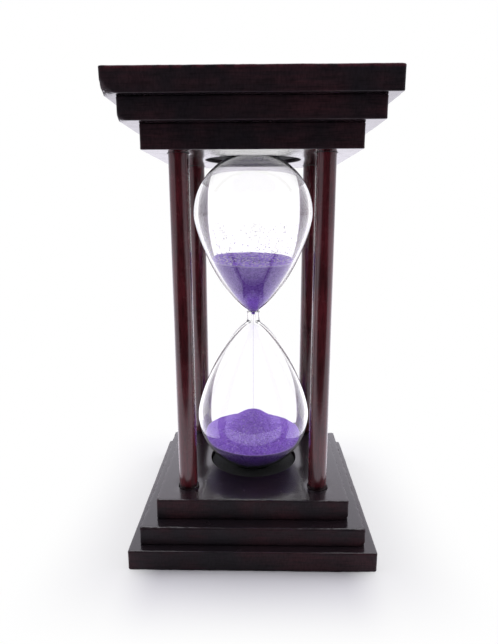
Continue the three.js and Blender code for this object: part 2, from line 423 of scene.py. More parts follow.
GRAIN_SIZE = 0.34 * MM
CLUMP_SIZE = 0.6 * MM
PACKED_STOPS = [
    (0.0, colour(0.135, 0.050, 0.37)),
    (0.5, colour(0.205, 0.085, 0.52)),
    (1.0, colour(0.28, 0.135, 0.63)),
]
# tones of loose grains, and in the pale last stop painted glints
LOOSE_TONES_AND_GLINTS = [
    (0.0, colour(0.08, 0.02, 0.30)),
    (0.08, colour(0.08, 0.02, 0.30)),
    (0.20, colour(0.32, 0.13, 0.84)),
    (0.78, colour(0.46, 0.24, 1.0)),
    (0.90, colour(0.88, 0.78, 1.0)),
]
RIM_DUST = colour(0.56, 0.42, 0.86)


def grain_cells(tree, place, size):
    """A random tone for each grain of that size, and the distance from its middle."""
    colours, distance = cells_of(tree, place, size)
    return add(tree, "SeparateColor", {0: colours}).outputs[0], distance


def colour_ramp(tree, value, stops):
    """The colour for a value, from (position, colour) stops."""
    ramp = add(tree, "ValToRGB", {0: value})
    elements = ramp.color_ramp.elements
    while len(elements) < len(stops):
        elements.new(1.0)
    for element, (position, tint) in zip(elements, stops):
        element.position = position
        element.color = tint
    return ramp.outputs[0]


def fine_sand():
    """Dyed sand. Packed grains are even, loose ones vary more and carry painted glints, and pale dust
    lines the rims.

    The attributes "loose" and "rim" mark these, and a third paints light and shade, making the sand
    lighter or darker.
    """
    material, tree, shader, place = new_material("fine_sand")
    grain, from_grain = grain_cells(tree, place, GRAIN_SIZE)
    clump, _ = grain_cells(tree, place, CLUMP_SIZE)
    packed = colour_ramp(tree, grain, PACKED_STOPS)
    loose = colour_ramp(tree, clump, LOOSE_TONES_AND_GLINTS)
    tint = blend_colours(tree, mark_of(tree, "loose"), packed, loose)
    tint = blend_colours(tree, mark_of(tree, "rim"), tint, RIM_DUST)
    # painted light and shade, from the mesh's attribute
    tint = toned(tree, 1.0, tint, plus(tree, 1.0, mark_of(tree, "painted_light_and_shade")))
    roughness = spread(tree, grain, 0.0, 1.0, 0.95, 0.55)
    normal = bump(tree, from_grain, 0.5, -0.12 * MM)
    feed(tree, shader, {"Base Color": tint, "Roughness": roughness, "IOR": 1.4, "Normal": normal})
    return material


def black_rubber(name, tone, dust):
    """Matte rubber of a tone, with smudges of dust."""
    material, tree, shader, place = new_material(name)
    grain = noise_of(tree, place, 0.5 * MM, 4.0)
    smudge = noise_of(tree, place, 5 * MM, 2.0)
    tint = blend_colours(tree, spread(tree, smudge, 0.35, 0.8), tone, dust)
    roughness = spread(tree, grain, 0.3, 0.7, 0.72, 0.95)
    normal = bump(tree, grain, 0.35, 0.1 * MM)
    feed(tree, shader, {"Base Color": tint, "Roughness": roughness, "Normal": normal})
    return material


def set_glue():
    """Squeezed-out glue, stained by the lacquer."""
    material, tree, shader, place = new_material("set_glue")
    cloud = noise_of(tree, place, 0.8 * MM, 3.0)
    dark = colour(0.010, 0.004, 0.005)
    stained = colour(0.034, 0.011, 0.013)
    tint = blend_colours(tree, spread(tree, cloud, 0.4, 0.75), dark, stained)
    roughness = spread(tree, cloud, 0.3, 0.7, 0.35, 0.6)
    normal = bump(tree, cloud, 0.4, 0.12 * MM)
    feed(tree, shader, {"Base Color": tint, "Roughness": roughness, "Normal": normal})
    return material


base_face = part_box("base_inner_board")[1].z

board_wood = lacquered_wood(
    "board_lacquer_wood",
    colour(0.0130, 0.0098, 0.0130),
    colour(0.042, 0.0138, 0.0182),
    grain=(14, 1, 1),
    redness=(0.36, 0.68),
    faces=(0.18, 0.28),
    edges=(0.42, 0.58),
    gloss=(0.0, 1.0),
    bumps=(0.04, 0.05, 0.08),
    lint=0.020,
    saw_marks=0.4,
)
column_wood = lacquered_wood(
    "column_lacquer_wood",
    colour(0.036, 0.0062, 0.0082),
    colour(0.108, 0.0130, 0.0190),
    grain=(1, 1, 9),
    redness=(0.25, 0.65),
    faces=(0.20, 0.30),
    edges=(0.20, 0.30),
    gloss=(0.75, 0.75),
    bumps=(0.0, 0.02, 0.03),
    lint=0.009,
    saw_marks=0.0,
    foot_shade=(base_face, 1.2 * MM),
)
glass = clear_glass()
sand = fine_sand()
pad_rubber = black_rubber(
    "pad_rubber_black", tone=colour(0.010, 0.011, 0.010), dust=colour(0.022, 0.023, 0.022)
)
stopper_rubber = black_rubber(
    "stopper_rubber_grey", tone=colour(0.035, 0.030, 0.028), dust=colour(0.06, 0.052, 0.05)
)
glue = set_glue()

# ---- boards

BOARD_STEP = 0.6 * MM
FLAT_INSETS = (3.6 * MM, 1.9 * MM, 0.8 * MM)  # rings on a face, in from its rounded edge
ROUND_STEPS = 4
SIDE_STEPS = 10
FACE_SPACING = 4 * MM
CORNER_RADIUS = 0.7 * MM
CORNER_TURNS = (15, 30, 45, 60, 75)  # degrees
OUTLINE_WANDER = 0.13 * MM  # the most that a board's outline strays inwards
SIDE_SWAY = 0.05 * MM  # and the most that its side does on the way up
LEAST_EDGE = 0.12 * MM
WEAR_FULL = 0.42 * MM
WEAR_END = 1.12 * MM
RECESS_EDGE = 0.35 * MM
SOCKET_EDGE = 0.05 * MM
RECESS_AROUND = 160
SOCKET_AROUND = 48


def square_path(half, corner):
    """Points of a square with rounded corners, anticlockwise from the right side's lower end."""
    straight = half - corner
    steps = round(2 * straight / BOARD_STEP)
    side = [(half, y) for y in np.linspace(-straight, straight, steps + 1)]
    turn = [math.radians(a) for a in CORNER_TURNS]
    side += [(straight + corner * math.cos(a), straight + corner * math.sin(a)) for a in turn]
    quarter = np.array(side)
    quarters = [quarter]
    for _ in range(3):
        last = quarters[-1]
        quarters.append(np.column_stack([-last[:, 1], last[:, 0]]))
    return np.concatenate(quarters)


def scoop(points, centre, outward, radius, depth):
    """Hollows a chip out of an edge: points inside a ball move to its surface."""
    ball = np.array(centre) + np.array(Vector(outward).normalized()) * (radius - depth)
    away = points - ball
    distance = np.linalg.norm(away, axis=1)
    inside = distance < radius
    points[inside] = ball + away[inside] * (radius / distance[inside])[:, None]


def round_corner(points, corner, outward, radius, seed):
    """Rounds a corner off, and less so the edges that meet there."""
    signs = np.array(outward, dtype=float)
    inward = (np.array(corner) - points) * signs
    reach = 1.9 * radius
    near = np.nonzero(np.linalg.norm(inward, axis=1) < reach)[0]
    share = 1 - np.linalg.norm(inward[near], axis=1) / reach
    local = radius * np.clip(1.8 * share, 0.05, 1.0) * (1 + 0.15 * ripple(points[near], 0.8 * MM, seed))
    over = np.clip(local[:, None] - inward[near], 0, None)
    length = np.linalg.norm(over, axis=1)
    scale = np.where(length > local, local / np.maximum(length, 1e-9), 1.0)
    kept = local[:, None] - over * scale[:, None]
    moved = np.where(over > 0, kept, inward[near])
    points[near] = np.array(corner) - moved * signs


def board(name, seed, edge_low, edge_high, worn_top=0.0, rough=1.0, holes=(), chips=(), corners=()):
    """A board with eased, slightly uneven edges, inside its CAD node's box.

    holes are (x, y, radius, edge radius). chips are (centre, outward, radius, depth) and
    corners are (corner, outward, radius). worn_top is how far its upper edges are rubbed, and
    rough is how uneven its sides are, 1 for plain ones.
    """
    low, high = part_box(name)
    half = high.x
    path = square_path(half, CORNER_RADIUS)
    flat = np.column_stack([path, np.zeros(len(path))])
    wander = OUTLINE_WANDER * (0.5 + 0.5 * ripple(flat, 16 * MM, seed))
    uneven = 1 + 0.4 * ripple(flat, 5 * MM, seed + 1) + 0.25 * rough * ripple(flat, 1.3 * MM, seed + 2)
    round_low = np.clip(edge_low * uneven, LEAST_EDGE, None)
    round_high = np.clip(edge_high * np.roll(uneven, len(path) // 3), LEAST_EDGE, None)

    def rim(inset, height):
        scale = 1 - (wander + inset) / half
        return np.column_stack([path * scale[:, None], np.broadcast_to(height, len(path))])

    angles = quarter_turn(ROUND_STEPS)
    rings = [rim(round_low + inset, low.z) for inset in FLAT_INSETS]
    rings += [rim(round_low * (1 - math.sin(a)), low.z + round_low * (1 - math.cos(a))) for a in angles]
    foot = low.z + round_low
    head = high.z - round_high
    for i in range(1, SIDE_STEPS):
        height = foot + (head - foot) * i / SIDE_STEPS
        spots = np.column_stack([path, height])
        sway = 0.5 * ripple(spots, 6 * MM, seed + 3) + 0.5 * ripple(spots, 1.3 * MM, seed + 4)
        rings.append(rim(SIDE_SWAY * rough * (0.5 + 0.5 * sway), height))
    for a in reversed(angles):
        rings.append(rim(round_high * (1 - math.sin(a)), high.z - round_high * (1 - math.cos(a))))
    rings += [rim(round_high + inset, high.z) for inset in reversed(FLAT_INSETS)]
    low_holes = []
    high_holes = []
    parts = [skin(rings)]
    for x, y, radius, edge in holes:
        count = SOCKET_AROUND if radius == SOCKET_RADIUS else RECESS_AROUND
        outline = eased(radius, high.z, 1, -1, edge, angles)
        outline += eased(radius, low.z, 1, 1, edge, reversed(angles))
        wall = [ring(r, z, count, (x, y)) for r, z in outline]
        parts.append(skin(wall))
        high_holes.append((wall[0], (x, y), radius + edge))
        low_holes.append((wall[-1], (x, y), radius + edge))
    parts.append(flat_fill(rings[0], low_holes, FACE_SPACING, False))
    parts.append(flat_fill(rings[-1], high_holes, FACE_SPACING, True))
    for points, _ in parts:
        for chip in chips:
            scoop(points, *chip)
        for i, corner in enumerate(corners):
            round_corner(points, *corner, seed + 5 + i)

    def wear(points):
        """1 along the upper edges, 0 on the faces."""
        from_side = half - np.abs(points[:, :2]).max(axis=1)
        from_top = high.z - points[:, 2]
        return worn_top * fading(np.hypot(from_side, from_top), WEAR_FULL, WEAR_END)

    marks = {"wear": wear}
    add_piece(name + "_lacquered", parts, board_wood, "frame", [name], 40, marks)


columns = ["front_left", "front_right", "back_left", "back_right"]
FRONT = (0, -1)
LEFT = (-1, 0)
RIGHT_LOWER = (1, -1, -1)
LEFT_LOWER = (-1, -1, -1)
LEFT_UPPER = (-1, -1, 1)
STRIP_DEPTHS = (0.12 * MM, 0.19 * MM, 0.26 * MM)
LEFT_KNOCKS = (-34.8, -31.7, -27.8, -1.5, 1.2)  # mm from the middle, along the left edge


def edge_chip(node, side, along, radius, depth):
    """A chip out of a board's upper edge, on the side that faces that way in x and y."""
    _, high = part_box(node)
    x = side[0] * high.x + abs(side[1]) * along
    y = side[1] * high.y + abs(side[0]) * along
    return (x, y, high.z), (*side, 1.0), radius, depth


def worn_corner(node, signs, radius):
    """The corner of a board on the sides that the signs say, to be rounded off."""
    low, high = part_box(node)
    corner = (high.x * signs[0], high.y * signs[1], high.z if signs[2] > 0 else low.z)
    return corner, signs, radius


def build_boards():
    """The foot and the top."""
    holes = [(0.0, 0.0, RECESS_RADIUS, RECESS_EDGE)]
    for side in columns:
        low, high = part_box("column_" + side)
        spot = (low + high) / 2
        holes.append((spot.x, spot.y, SOCKET_RADIUS, SOCKET_EDGE))
    outer, middle, inner = "base_outer_board", "base_middle_board", "base_inner_board"
    strip = enumerate(np.linspace(17 * MM, 33 * MM, 9))
    chips = [edge_chip(outer, FRONT, x, radius=1.3 * MM, depth=STRIP_DEPTHS[i % 3]) for i, x in strip]
    board(outer, 1, edge_low=0.5 * MM, edge_high=0.5 * MM, chips=chips)
    chips = [edge_chip(middle, LEFT, y * MM, radius=1.1 * MM, depth=0.4 * MM) for y in LEFT_KNOCKS]
    worn = [worn_corner(middle, RIGHT_LOWER, 1.4 * MM)]
    board(middle, 11, edge_low=0.45 * MM, edge_high=0.7 * MM, rough=1.9, chips=chips, corners=worn)
    worn = [worn_corner(inner, RIGHT_LOWER, 1.5 * MM), worn_corner(inner, LEFT_UPPER, 0.9 * MM)]
    board(inner, 21, edge_low=0.5 * MM, edge_high=0.5 * MM, rough=1.6, holes=holes, corners=worn)
    outer, middle, inner = "top_outer_board", "top_middle_board", "top_inner_board"
    worn = [worn_corner(outer, LEFT_LOWER, 2.6 * MM)]
    board(outer, 31, edge_low=0.4 * MM, edge_high=0.55 * MM, worn_top=1.0, corners=worn)
    worn = [worn_corner(middle, LEFT_LOWER, 1.6 * MM)]
    board(middle, 41, edge_low=0.4 * MM, edge_high=0.3 * MM, corners=worn)
    board(inner, 51, edge_low=0.3 * MM, edge_high=0.3 * MM, holes=holes)


build_boards()

# ---- columns and glue

COLUMN_AROUND = 96
COLUMN_STEPS = 110
COLUMN_SWAY = 0.03 * MM


def build_column(side, seed):
    """A plain round dowel, a little uneven along its length."""
    name = "column_" + side
    low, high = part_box(name)
    middle = (low + high) / 2
    radius = (high.x - low.x) / 2
    rings = []
    for i in range(COLUMN_STEPS + 1):
        circle = ring(1.0, low.z + (high.z - low.z) * i / COLUMN_STEPS, COLUMN_AROUND)
        spots = circle * np.array([radius, radius, 1.0])
        sway = 0.8 * ripple(spots, 14 * MM, seed) + 0.2 * ripple(spots, 4 * MM, seed + 1)
        circle[:, :2] *= (radius - COLUMN_SWAY * (1 + sway))[:, None]
        rings.append(circle + np.array([middle.x, middle.y, 0.0]))
    parts = [skin(rings, (middle.x, middle.y, low.z), (middle.x, middle.y, high.z))]
    add_piece(name + "_dowel", parts, column_wood, "frame", [name], 40)


BEAD_AROUND = 96
BEAD_STEPS = 6
BEAD_SINK = 0.1 * MM  # how far a bead reaches into its column
LUMP_SIZE = 1.4 * MM
SPUR_SIZE = 1.0 * MM
TOP_SPURS = 0.15  # of the length of those at the base


def build_bead(end, side, seed):
    """Glue squeezed out around a column, lumpy, with spurs to its left and right."""
    node = f"{end}_glue_bead_{side}"
    low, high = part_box(node)
    middle = (low + high) / 2
    face, rise = (low.z, 1.0) if end == "base" else (high.z, -1.0)
    column_low, column_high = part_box("column_" + side)
    radius = (column_high.x - column_low.x) / 2 - BEAD_SINK
    circle = ring(radius, 0.0, BEAD_AROUND)
    sideways = np.abs(circle[:, 0] / radius) ** 6 * (1.0 if end == "base" else TOP_SPURS)
    lumps = ripple(circle, LUMP_SIZE, seed)
    spurs = np.clip(ripple(circle, SPUR_SIZE, seed + 1) + 0.35, 0, None) * sideways
    lap = MM * np.clip(0.02 + 0.08 * lumps + 0.9 * spurs, 0.01, 1.0)
    height = MM * np.clip(0.12 + 0.16 * lumps + 1.7 * spurs, 0.04, 1.6)
    rings = [ring(radius, face, BEAD_AROUND)]
    for i in range(BEAD_STEPS + 1):
        share = i / BEAD_STEPS
        bulge = radius + BEAD_SINK + lap * (1 - share**2) ** 0.8
        rings.append(ring(bulge, face + rise * height * share, BEAD_AROUND))
    rings.append(ring(radius, face + rise * height, BEAD_AROUND))
    shifted = [r + np.array([middle.x, middle.y, 0.0]) for r in rings]
    if rise < 0:
        shifted.reverse()
    add_piece(node + "_set", [skin(shifted, loop=True)], glue, "frame", [node], 50)


for number, column_side in enumerate(columns):
    build_column(column_side, 61 + 3 * number)
    for end_number, end_name in enumerate(("base", "top")):
        build_bead(end_name, column_side, 81 + 10 * number + 5 * end_number)

# ---- pads

PAD_AROUND = 160
PAD_EDGE = 0.5 * MM
PAD_ROUND_STEPS = 5
PAD_FACE_STEPS = 12


def least_radius(node, above):
    """The radius of a node's innermost ring of corners above that height."""
    corners = [v.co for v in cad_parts[node].data.vertices if v.co.z > above]
    return min(r for r in (math.hypot(c.x, c.y) for c in corners) if r > MM)


def build_pad(end):
    """A rubber ring with rounded edges, as wide as in the CAD."""
    node = end + "_pad"
    low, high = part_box(node)
    outer = high.x
    hole = least_radius(node, low.z - MM)
    angles = quarter_turn(PAD_ROUND_STEPS)
    outline = eased(hole, low.z, 1, 1, PAD_EDGE, reversed(angles))
    outline += eased(outer, low.z, -1, 1, PAD_EDGE, angles)
    outline += eased(outer, high.z, -1, -1, PAD_EDGE, reversed(angles))
    face = np.linspace(outer - PAD_EDGE, hole + PAD_EDGE, PAD_FACE_STEPS + 1)
    outline += [(radius, high.z) for radius in face[1:-1]]
    outline += eased(hole, high.z, 1, -1, PAD_EDGE, angles)
    rings = [ring(r, z, PAD_AROUND) for r, z in outline]
    add_piece(node + "_rubber", [skin(rings, loop=True)], pad_rubber, "frame", [node], 60)


build_pad("base")
build_pad("top")

# ---- glass

glass_low, glass_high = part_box("glass_bulbs")
BULB_RADIUS = glass_high.x
MIDDLE = (glass_low.z + glass_high.z) / 2
glass_end = glass_high.z - MIDDLE
widest_ring = glass_end - DOME_HEIGHT * math.sqrt(1 - (END_FLAT_RADIUS / BULB_RADIUS) ** 2)
GLASS_AROUND = 208
GLASS_STEPS = 230
CONE_STEPS = 60
DOME_STEPS = 44
SOFT_OUTSIDE = 0.55 * MM
SOFT_BORE = 0.35 * MM
SOFT_FULL = 4.5 * MM  # the outline is softened up to here from the middle
SOFT_END = 7.5 * MM  # and not past here


def bulb_outline(inset, neck_end, neck_radius, end_radius):
    """(radius, distance from the middle) along one bulb, from its neck to its end."""
    widest = BULB_RADIUS - inset
    cone = widest_ring - neck_end
    corners = np.array(
        [
            (neck_radius, neck_end),
            (neck_radius + NECK_SPREAD, neck_end + NECK_SPREAD_REACH * cone),
            (widest, widest_ring - CONE_FULLNESS * cone),
            (widest, widest_ring),
        ]
    )
    t = np.linspace(0, 1, CONE_STEPS + 1)[:, None]
    weights = np.hstack([(1 - t) ** 3, 3 * (1 - t) ** 2 * t, 3 * (1 - t) * t**2, t**3])
    angles = np.linspace(0, math.acos(end_radius / widest), DOME_STEPS + 1)[1:]
    dome_height = DOME_HEIGHT - inset
    dome = np.column_stack([widest * np.cos(angles), widest_ring + dome_height * np.sin(angles)])
    return np.vstack([weights @ corners, dome])


def both_bulbs(inset, neck_half_length, neck_radius, end_radius):
    """The outlines of the upper and the lower bulb."""
    upper = bulb_outline(inset, neck_half_length + NECK_RISE, neck_radius, end_radius)
    lower = bulb_outline(inset, neck_half_length - NECK_RISE, neck_radius, end_radius)
    return upper, lower


def softened(outline, reach):
    """The outline in even steps, its corners near the neck rounded off over that reach."""
    points = np.array(outline)
    along = np.concatenate([[0], np.cumsum(np.linalg.norm(np.diff(points, axis=0), axis=1))])
    even = np.linspace(0, along[-1], GLASS_STEPS + 1)
    fine = np.column_stack([np.interp(even, along, points[:, 0]), np.interp(even, along, points[:, 1])])
    weights = np.exp(-((even[:, None] - even) / reach) ** 2)
    soft = weights @ fine / weights.sum(axis=1)[:, None]
    near_neck = fading(np.abs(fine[:, 1]), SOFT_FULL, SOFT_END)
    return fine + (soft - fine) * near_neck[:, None]


def build_glass():
    """Both bulbs and the neck as one wall, open at the filling hole."""
    upper, lower = both_bulbs(0.0, NECK_HALF_LENGTH, NECK_RADIUS, END_FLAT_RADIUS)
    outer = [(r, -d) for r, d in lower[::-1]] + [(r, d) for r, d in upper]
    upper, lower = both_bulbs(GLASS_WALL, BORE_HALF_LENGTH, NECK_BORE_RADIUS, MOUTH_RADIUS)
    inner = [(r, d) for r, d in upper[::-1]] + [(r, -d) for r, d in lower]
    mouth = [ring(MOUTH_RADIUS, MIDDLE - glass_end, GLASS_AROUND)]
    outer_rings = [ring(r, MIDDLE + d, GLASS_AROUND) for r, d in softened(outer, SOFT_OUTSIDE)]
    inner_rings = [ring(r, MIDDLE + d, GLASS_AROUND) for r, d in softened(inner, SOFT_BORE)]
    parts = [
        skin(mouth + outer_rings, end=(0, 0, MIDDLE + glass_end)),
        skin(inner_rings + mouth, start=(0, 0, MIDDLE + upper[-1][1])),
    ]
    add_piece("glass_blown", parts, glass, "glass", ["glass_bulbs"], 35)


build_glass()

STOPPER_AROUND = 64
STOPPER_EDGE = 0.3 * MM


def build_stopper():
    """The plug in the filling hole, its edges eased."""
    node = "filling_stopper"
    low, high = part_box(node)
    head = high.x
    stem = least_radius(node, high.z - 0.1 * MM)
    head_top = MIDDLE - glass_end
    angles = quarter_turn(ROUND_STEPS)
    outline = [(head * 0.5, low.z)]
    outline += eased(head, low.z, -1, 1, STOPPER_EDGE, angles)
    outline += [(head, head_top), (stem, head_top)]
    outline += eased(stem, high.z, -1, -1, STOPPER_EDGE, reversed(angles))
    rings = [ring(r, z, STOPPER_AROUND) for r, z in outline]
    parts = [skin(rings, (0, 0, low.z), (0, 0, high.z))]
    add_piece("filling_stopper_rubber", parts, stopper_rubber, "glass", [node], 40)


build_stopper()

# ---- sand

SAND_GAP = 0.05 * MM
SAND_AROUND = 320
SAND_STEP = 0.26 * MM
UPPER_RIM = 15 * MM  # about the radii of the surfaces
LOWER_RIM = 17 * MM
LOWER_LEVEL = 30.3 * MM  # below the middle of the glass
LOWER_WALL = 24 * MM  # about the lengths of the heap's outline, along the glass
LOWER_SLOPE = 18 * MM  # and on top
LOOSE_ROOM = 0.1 * MM
RIM_FULL = 0.175 * MM
RIM_END = 0.525 * MM
upper_wall, lower_wall = both_bulbs(
    GLASS_WALL + SAND_GAP, BORE_HALF_LENGTH + SAND_GAP, NECK_BORE_RADIUS - SAND_GAP, MOUTH_RADIUS
)
sand_angles = np.arange(SAND_AROUND) * math.tau / SAND_AROUND
rng = np.random.RandomState(7)


def wall_radius(wall, distance):
    """The sand's radius against the glass, at a distance from the middle."""
    return np.interp(distance, wall[:, 1], wall[:, 0])


def rim_line(radius, height, tilt_right, tilt_back, seed):
    """Heights where a sand surface meets the glass, tilted and uneven."""
    around = ring(radius, 0.0, SAND_AROUND)
    line = height + tilt_right * np.cos(sand_angles) + tilt_back * np.sin(sand_angles)
    return line + 0.2 * MM * ripple(around, 5 * MM, seed) + 0.09 * MM * ripple(around, 1.3 * MM, seed + 1)


def surface_rings(rim_ring, across, height_at, lumps, grains):
    """Rings from a rim to the axis. height_at gives the height at a share of the way.

    lumps and grains are the (size, height) of unevenness.
    """
    rings = []
    for i in range(1, across):
        share = i / across
        inner = rim_ring * np.array([1 - share, 1 - share, 1.0])
        inner[:, 2] = height_at(share, rim_ring[:, 2])
        settle = min(1.0, share * 8)
        size, amount = lumps
        inner[:, 2] += amount * settle * ripple(inner, size, 6)
        size, amount = grains
        jitter = 0.5 * rng.uniform(-1, 1, len(inner)) + 0.9 * ripple(inner, size, 3)
        inner[:, 2] += amount * settle * jitter
        rings.append(inner)
    return rings


def loose_marks(wall, sign):
    """1 on a sand surface that is free, 0 against the glass. sign is 1 for the upper bulb."""

    def mark(points):
        radius = np.hypot(points[:, 0], points[:, 1])
        room = wall_radius(wall, sign * (points[:, 2] - MIDDLE)) - radius
        return 1 - fading(room, 0, LOOSE_ROOM)

    return mark


def rim_marks(rim_ring):
    """1 on the line where a sand surface meets the glass, fading within a grain or two."""

    def mark(points):
        around = np.arctan2(points[:, 1], points[:, 0])
        rim = np.interp(around, sand_angles, rim_ring[:, 2], period=math.tau)
        radius = np.hypot(rim_ring[:, 0], rim_ring[:, 1])
        rim_radius = np.interp(around, sand_angles, radius, period=math.tau)
        away = np.hypot(points[:, 2] - rim, np.hypot(points[:, 0], points[:, 1]) - rim_radius)
        return fading(away, RIM_FULL, RIM_END)

    return mark


NECK_LIGHT_HEIGHT = 7 * MM  # above the middle of the glass
NECK_LIGHT_REACH = 3.2 * MM


# painted light on the sand above the neck
def painted_light_above_neck(points):
    """1 where a painted light brightens the sand above the neck, fading above and below."""
    away = (points[:, 2] - MIDDLE - NECK_LIGHT_HEIGHT) / NECK_LIGHT_REACH
    return np.exp(-away * away)


def build_upper_sand():
    """What is left above, with an uneven, tilted surface."""
    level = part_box("sand_upper")[1].z - MIDDLE
    tip = UPPER_SAND_TIP
    rim = rim_line(UPPER_RIM, level, tilt_right=-0.30 * MM, tilt_back=0.95 * MM, seed=4)
    steps = round((level - tip) / SAND_STEP)
    rings = []
    for i in range(steps + 1):
        distance = tip + (rim - tip) * i / steps
        rings.append(ring(wall_radius(upper_wall, distance), MIDDLE + distance, SAND_AROUND))
    rim_ring = rings[-1]
    centre_height = MIDDLE + level - 0.2 * MM

    def slope(share, rim_height):
        return rim_height * (1 - share) + centre_height * share

    lumps = (4.5 * MM, 0.28 * MM)
    grains = (0.7 * MM, 0.19 * MM)
    rings += surface_rings(rim_ring, round(UPPER_RIM / SAND_STEP), slope, lumps, grains)
    parts = [skin(rings, start=(0, 0, MIDDLE + tip), end=(0, 0, centre_height))]
    loose = loose_marks(upper_wall, 1)
    marks = {
        "loose": loose,
        "rim": rim_marks(rim_ring),
        # painted light and shade: darker against the glass, lighter on the free surface and above the
        # neck
        "painted_light_and_shade": lambda points: 0.29 * loose(points) + 0.5 * painted_light_above_neck(points) - 0.13,
    }
    add_piece("sand_upper_grains", parts, sand, "glass", ["sand_upper"], marks=marks)


HEAP_SHARES = (0.0, 0.07, 0.14, 0.21, 0.30, 0.54, 0.82, 1.0)  # of the way out from the peak
HEAP_DROPS = (0.0, 0.012, 0.045, 0.11, 0.24, 0.58, 0.88, 1.0)  # of the way down to the rim


def build_lower_sand():
    """The heap below: round like the glass under it, a soft cone above."""
    low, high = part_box("sand_lower")
    rim = MIDDLE - rim_line(LOWER_RIM, LOWER_LEVEL, tilt_right=-0.4 * MM, tilt_back=0.6 * MM, seed=8)
    bottom = min(MIDDLE - low.z, lower_wall[-1, 1])
    steps = round(LOWER_WALL / SAND_STEP)
    rings = []
    for i in range(1, steps + 1):
        distance = bottom - (bottom - rim) * (i / steps) ** 1.7
        rings.append(ring(wall_radius(lower_wall, distance), MIDDLE - distance, SAND_AROUND))
    rim_ring = rings[-1]
    peak = high.z - 0.15 * MM

    def heap(share, rim_height):
        return peak - (peak - rim_height) * np.interp(1 - share, HEAP_SHARES, HEAP_DROPS)

    lumps = (6 * MM, 0.22 * MM)
    grains = (0.6 * MM, 0.045 * MM)
    rings += surface_rings(rim_ring, round(LOWER_SLOPE / SAND_STEP), heap, lumps, grains)
    parts = [skin(rings, start=(0, 0, MIDDLE - bottom), end=(0, 0, peak))]
    loose = loose_marks(lower_wall, -1)
    at_rim = rim_marks(rim_ring)
    marks = {
        "loose": lambda points: 0.12 * loose(points),
        "rim": lambda points: 0.45 * at_rim(points),
        # painted shade: the heap darker against the glass, lighter on its free surface
        "painted_light_and_shade": lambda points: 0.62 * loose(points) - 0.42,
    }
    add_piece("sand_lower_grains", parts, sand, "glass", ["sand_lower"], marks=marks)
    return peak


THREAD_RADIUS = 0.031 * MM
THREAD_FINEST = 0.012 * MM
THREAD_GATHER = 2.5 * MM  # the length over which the thread draws out below the neck
THREAD_SWELLS = (0.7 * MM, 0.25 * MM)
THREAD_STEPS = 300
THREAD_AROUND = 10


def build_thread(peak):
    """The falling sand: a fine, broken thread from the neck to the heap."""
    top = MIDDLE + UPPER_SAND_TIP + 0.1 * MM
    rings = []
    for i in range(THREAD_STEPS + 1):
        height = peak - 0.1 * MM + (top - peak) * i / THREAD_STEPS
        swell = noise.noise(Vector((0, 0, height / THREAD_SWELLS[0])))
        swell += 0.6 * noise.noise(Vector((0, 9, height / THREAD_SWELLS[1])))
        gathered = math.exp((height - top) / THREAD_GATHER)
        radius = max(THREAD_FINEST, THREAD_RADIUS * (1 + 0.8 * swell + 1.6 * gathered))
        rings.append(ring(radius, height, THREAD_AROUND))
    parts = [skin(rings, (0, 0, rings[0][0][2]), (0, 0, rings[-1][0][2]))]
    add_piece("sand_thread_falling", parts, sand, "glass", ["sand_thread"])


DUST_COUNT = 560
DUST_START = 0.8 * MM  # how far above the sand the grains that cling to the glass begin
DUST_REACH = 12 * MM  # and how far they go on from there
DUST_RADII = (0.08, 0.155)  # mm
DUST_SINK = 0.04 * MM  # how far a grain reaches into the glass


def grain_at(centre, radius):
    """One angular grain: a rough octahedron, bulged."""
    turn = Matrix.Rotation(rng.uniform(0, 6.28), 3, Vector(rng.uniform(-1, 1, 3)).normalized())
    rings = []
    for height in (-0.55, 0.0, 0.6):
        width = math.sqrt(1 - height * height) * rng.uniform(0.8, 1.15)
        rings.append(ring(radius * width, radius * height, 6))
    points, faces = skin(rings, start=(0, 0, -radius), end=(0, 0, radius))
    return points @ np.array(turn) + np.array(centre), faces


def build_dust():
    """Grains that cling to the glass above the sand."""
    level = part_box("sand_upper")[1].z - MIDDLE
    parts = []
    for _ in range(DUST_COUNT):
        distance = level + DUST_START + DUST_REACH * rng.uniform(0, 1) ** 2.2
        angle = rng.uniform(0, math.tau)
        radius = rng.uniform(*DUST_RADII) * MM
        reach = wall_radius(upper_wall, distance) + DUST_SINK - radius
        centre = (reach * math.cos(angle), reach * math.sin(angle), MIDDLE + distance)
        parts.append(grain_at(centre, radius))
    add_piece("sand_dust_on_glass", parts, sand, "glass", [], sharp_angle=30, weld=False)


build_upper_sand()
heap_peak = build_lower_sand()
build_thread(heap_peak)
build_dust()

# ---- floor, light and camera

FLOOR_HALF = 3.0
FLOOR_COLOUR = colour(0.74, 0.73, 0.77)
WHITE = colour(1.0, 1.0, 1.0)
COOL = colour(0.965, 0.96, 1.0)
COOL_MIRROR = colour(0.94, 0.91, 1.0)
SHADOW_REACH = 32 * MM  # in front of and behind the base the floor fades to white over this
SIDE_START = 12 * MM  # beside it the floor pales from this far inside its sides
SIDE_END = 3 * MM  # to this far outside them
SIDE_WHITE = 0.6  # by this share
SIDE_REACH = 36 * MM  # and it is white this far outside them
TABLE_EDGE = 135 * MM  # in reflections the floor ends this far in front
TABLE_FADE = 2 * MM
TABLE_BOW = 0.8  # further to the sides, by this times the square of the way from the middle
TABLE_FAR = (0.2, 0.7)  # and behind it dims from here to there
TABLE_GLOW = (1.8, 1.2)  # its strengths
BACKDROP_RISE = (0.05, 0.35)
BACKDROP_GLOW = (1.0, 1.4)  # the backdrop in reflections, low and high
ROOM_GLOW = 0.03  # what is left of it in front, where it is dark
ROOM_SLANT = 1.19
ROOM_EDGE = (-0.22, 0.12)  # of y + ROOM_SLANT * |x|
WORLD_LIGHT = 0.65
SIDE_LIGHT = 1.9  # added from the left and the right
SIDE_LIGHT_RISE = (0.35, 0.85)
